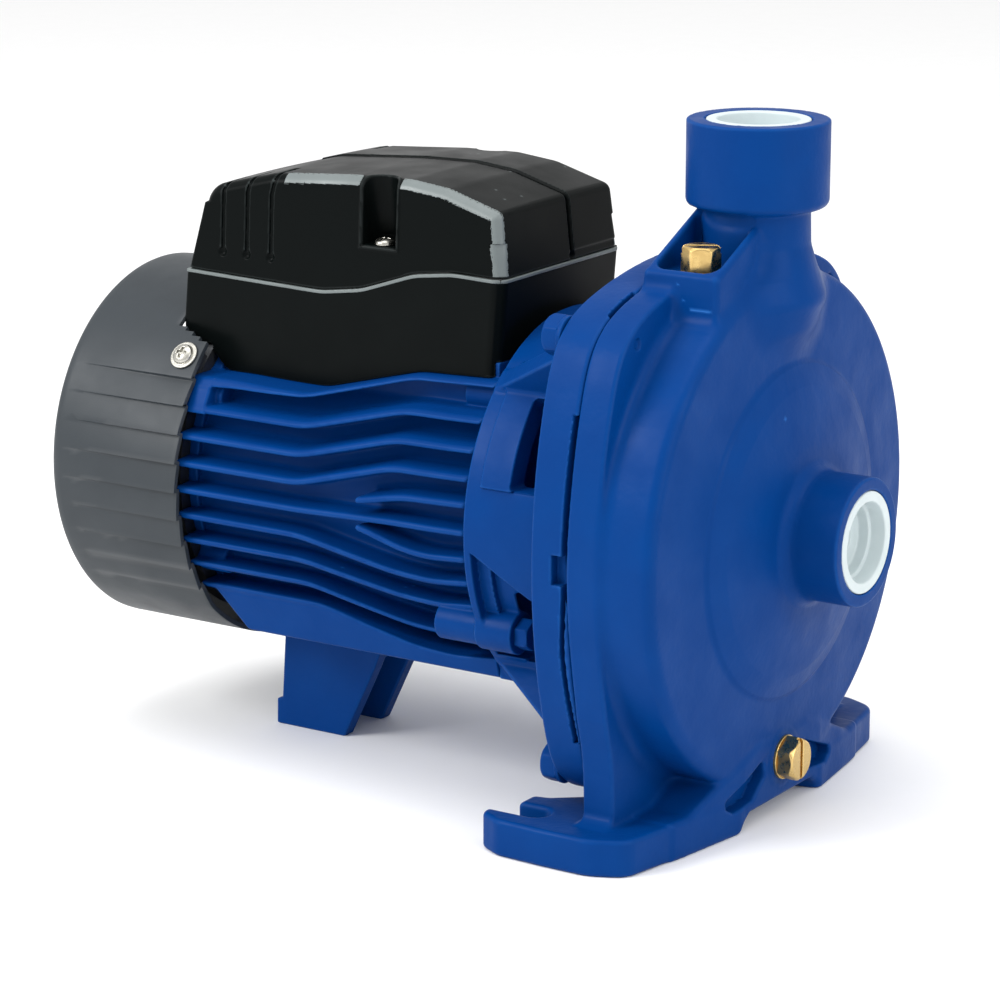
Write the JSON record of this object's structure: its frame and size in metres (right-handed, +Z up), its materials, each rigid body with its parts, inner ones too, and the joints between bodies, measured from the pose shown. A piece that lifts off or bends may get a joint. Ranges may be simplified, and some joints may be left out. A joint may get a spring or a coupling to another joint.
{
  "type": "centrifugal water pump",
  "caption": "Close-coupled centrifugal water pump: round cast volute with threaded suction and discharge ports, finned electric motor, fan cover and terminal box on top.",
  "frame": {"origin": "on the ground under the middle of the pump's overall box", "axes": "+X along the shaft from the fan cover to the suction port, +Z up through the discharge port, +Y across"},
  "size_m": [0.298, 0.187, 0.241],
  "materials": {
    "blue_castings": "glossy blue paint over cast iron",
    "blue_frame": "glossy blue paint over die-cast aluminium",
    "black_gloss": "glossy black moulded plastic",
    "black_matte": "matte dark grey moulded plastic",
    "zinc_steel": "zinc plated",
    "bright_steel": "ground and polished",
    "lamination_steel": "dark laminated steel",
    "cast_aluminium": "as cast",
    "brass": "machined brass",
    "copper": "varnished copper wire, weighed as brass",
    "black_rubber": "matte rubber",
    "cap_plastic": "thin translucent white polyethylene",
    "seal_ceramic": "white ceramic ring",
    "seal_carbon": "carbon ring in its holder",
    "block_plastic": "moulded insulating plastic",
    "capacitor_case": "white plastic case"
  },
  "bodies": {
    "housing": {"pump_casing": "blue_castings", "motor_bracket": "blue_castings", "casing_oring": "black_rubber", "casing_bolts": "zinc_steel", "motor_bolts": "zinc_steel", "seal_seat": "seal_ceramic", "seal_cup": "black_rubber", "stator_core": "lamination_steel", "stator_winding": "copper", "front_bearing_outer": "bright_steel", "front_bearing_balls": "bright_steel", "rear_bearing_outer": "bright_steel", "rear_bearing_balls": "bright_steel", "wave_washer": "bright_steel", "motor_frame": "blue_frame", "motor_foot": "blue_castings", "motor_foot_screws": "zinc_steel", "rear_end_shield": "cast_aluminium", "end_shield_screws": "zinc_steel", "fan_cover": "black_matte", "fan_cover_screws": "zinc_steel", "terminal_box_base": "black_gloss", "terminal_box_lid": "black_gloss", "lid_seal": "black_rubber", "lid_screws": "zinc_steel", "box_gasket": "black_rubber", "box_screws": "zinc_steel", "terminal_block": "block_plastic", "terminal_screws": "brass", "capacitor": "capacitor_case", "capacitor_strap": "zinc_steel", "earth_screw": "brass", "gland_body": "black_gloss", "gland_locknut": "black_gloss", "gland_nut": "black_gloss", "gland_seal": "black_rubber"},
    "rotor": {"shaft": "bright_steel", "rotor_core": "lamination_steel", "rotor_cage": "cast_aluminium", "impeller": "brass", "impeller_key": "bright_steel", "impeller_nut": "zinc_steel", "seal_rotor": "seal_carbon", "seal_spring": "bright_steel", "water_deflector": "black_rubber", "front_bearing_inner": "bright_steel", "front_bearing_ring": "bright_steel", "rear_bearing_inner": "bright_steel", "cooling_fan": "black_matte", "fan_ring": "bright_steel"},
    "priming_plug": {"priming_plug": "brass", "priming_washer": "brass"},
    "drain_plug": {"drain_plug": "brass", "drain_washer": "brass"},
    "suction_cap": {"suction_cap": "cap_plastic"},
    "discharge_cap": {"discharge_cap": "cap_plastic"}
  },
  "joints": [
    {"name": "shaft_spin", "type": "hinge", "parent": "housing", "child": "rotor", "pos_m": [0, 0, 0.101], "axis": [1, 0, 0], "continuous": true},
    {"name": "priming_plug_unscrew", "type": "slide", "parent": "housing", "child": "priming_plug", "axis": [0, 0, 1], "range_m": [0, 0.07]},
    {"name": "drain_plug_unscrew", "type": "slide", "parent": "housing", "child": "drain_plug", "axis": [1, 0, 0], "range_m": [0, 0.06]},
    {"name": "suction_cap_pull", "type": "slide", "parent": "housing", "child": "suction_cap", "axis": [1, 0, 0], "range_m": [0, 0.08]},
    {"name": "discharge_cap_pull", "type": "slide", "parent": "housing", "child": "discharge_cap", "axis": [0, 0, 1], "range_m": [0, 0.08]}
  ]
}
